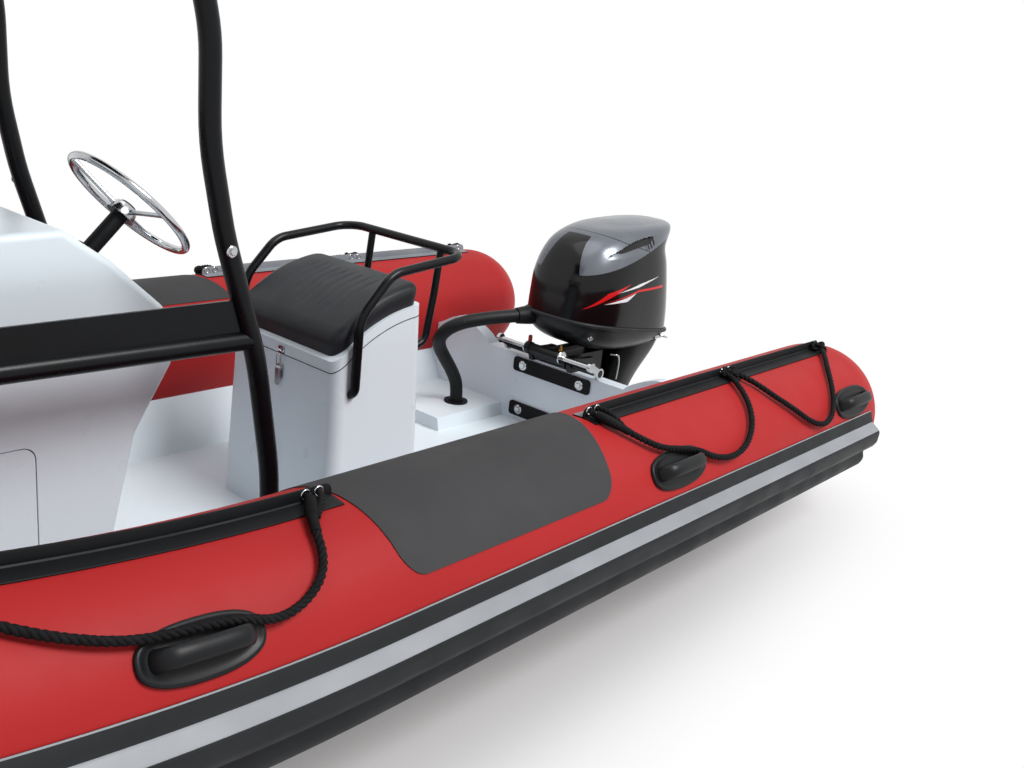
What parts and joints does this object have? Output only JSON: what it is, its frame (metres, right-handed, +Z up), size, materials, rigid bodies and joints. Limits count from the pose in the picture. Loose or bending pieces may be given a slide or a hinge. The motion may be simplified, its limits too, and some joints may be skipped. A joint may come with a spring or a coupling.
{
  "type": "rigid inflatable boat",
  "caption": "Rigid inflatable boat: V hull in an inflatable collar, console, bolster seat, T-top, and a tilting, steering outboard motor.",
  "frame": {"origin": "on the centreline amidships, on the waterline at rest", "axes": "+X forward to the bow, +Y to port, +Z up"},
  "size_m": [5.7705, 2.5026, 2.8073],
  "materials": {
    "tube_red": "satin coated fabric",
    "black_rubber": "satin",
    "strake_rubber": "satin, with a silver-grey ridge",
    "patch_grey": "ribbed, matt",
    "gelcoat": "glossy light grey-white gelcoat",
    "rope_black": "braided",
    "cushion_black": "marine vinyl",
    "black_coat": "satin black powder coat",
    "stainless": "polished",
    "cowl_black": "gloss black and dark metallic grey",
    "motor_black": "semi-gloss black",
    "black_plastic": "satin",
    "clear": "tinted clear acrylic",
    "canvas": "woven canvas"
  },
  "bodies": {
    "boat": {"collar_port": "tube_red", "collar_starboard": "tube_red", "collar_bow": "tube_red", "hull": "gelcoat", "deck_liner": "gelcoat", "bow_deck": "gelcoat", "transom": "gelcoat", "transom_plates": "black_plastic", "rub_strake_port": "strake_rubber", "rub_strake_starboard": "strake_rubber", "rub_strake_bow": "strake_rubber", "lifeline_fins_port": "black_rubber", "lifeline_fins_starboard": "black_rubber", "wear_patch_port": "patch_grey", "wear_patch_starboard": "patch_grey", "grab_handles_port": "black_rubber", "grab_handles_starboard": "black_rubber", "lifeline_fore_port": "rope_black", "lifeline_fore_starboard": "rope_black", "lifeline_mid_port": "rope_black", "lifeline_mid_starboard": "rope_black", "lifeline_aft_port": "rope_black", "lifeline_aft_starboard": "rope_black", "seat_pod": "gelcoat", "seat_rail": "black_coat", "console": "gelcoat", "windscreen": "clear", "helm_hub": "black_plastic", "ttop_frame_port": "black_coat", "ttop_frame_starboard": "black_coat", "ttop_hoop": "black_coat", "ttop_canopy": "canvas", "clamp_bracket": "motor_black", "rigging_hose": "black_plastic", "hose_flange": "black_plastic", "bow_eye": "stainless", "tow_eyes": "stainless"},
    "seat_top": {"seat_lid": "gelcoat", "seat_cushion": "cushion_black"},
    "console_door": {"console_door": "gelcoat"},
    "bow_hatch": {"bow_hatch": "gelcoat"},
    "helm": {"steering_wheel": "stainless"},
    "tilt_unit": {"swivel_bracket": "motor_black", "steering_rod": "stainless"},
    "motor": {"motor_cowl": "cowl_black", "motor_pan": "motor_black", "motor_leg": "motor_black", "motor_lower_unit": "motor_black", "tiller_arm": "motor_black"},
    "steering_ram": {"steering_ram": "motor_black"},
    "propeller": {"propeller": "motor_black"}
  },
  "joints": [
    {"name": "motor_tilt", "type": "hinge", "parent": "boat", "child": "tilt_unit", "pos_m": [-2.15, 0, 0.39], "axis": [0, 1, 0], "range_deg": [0, 65], "deforming": ["rigging_hose"]},
    {"name": "motor_steer", "type": "hinge", "parent": "tilt_unit", "child": "motor", "pos_m": [-2.43, 0, 0.3], "axis": [0, 0, 1], "range_deg": [-30, 30], "deforming": ["rigging_hose"]},
    {"name": "steering_slide", "type": "slide", "parent": "tilt_unit", "child": "steering_ram", "axis": [0, 1, 0], "range_m": [-0.14, 0.14]},
    {"name": "propeller_spin", "type": "hinge", "parent": "motor", "child": "propeller", "pos_m": [-2.765, 0, -0.49], "axis": [1, 0, 0], "continuous": true},
    {"name": "helm_spin", "type": "hinge", "parent": "boat", "child": "helm", "pos_m": [-0.242, 0, 1.1], "axis": [-0.7071, 0, 0.7071], "range_deg": [-720, 720]},
    {"name": "seat_lid_hinge", "type": "hinge", "parent": "boat", "child": "seat_top", "pos_m": [-1.113, 0, 0.76342], "axis": [0, -1, 0], "range_deg": [0, 45]},
    {"name": "console_door_hinge", "type": "hinge", "parent": "boat", "child": "console_door", "pos_m": [0.4815, 0.358, 0.405], "axis": [0, 0, -1], "range_deg": [0, 100]},
    {"name": "bow_hatch_hinge", "type": "hinge", "parent": "boat", "child": "bow_hatch", "pos_m": [1.84055, 0, 0.49153], "axis": [0, 1, 0], "range_deg": [0, 95]}
  ],
  "couplings": [
    {"joint": "steering_slide", "follows": "motor_steer", "m_per_rad": 0.265},
    {"joint": "helm_spin", "follows": "motor_steer", "ratio": -24}
  ]
}
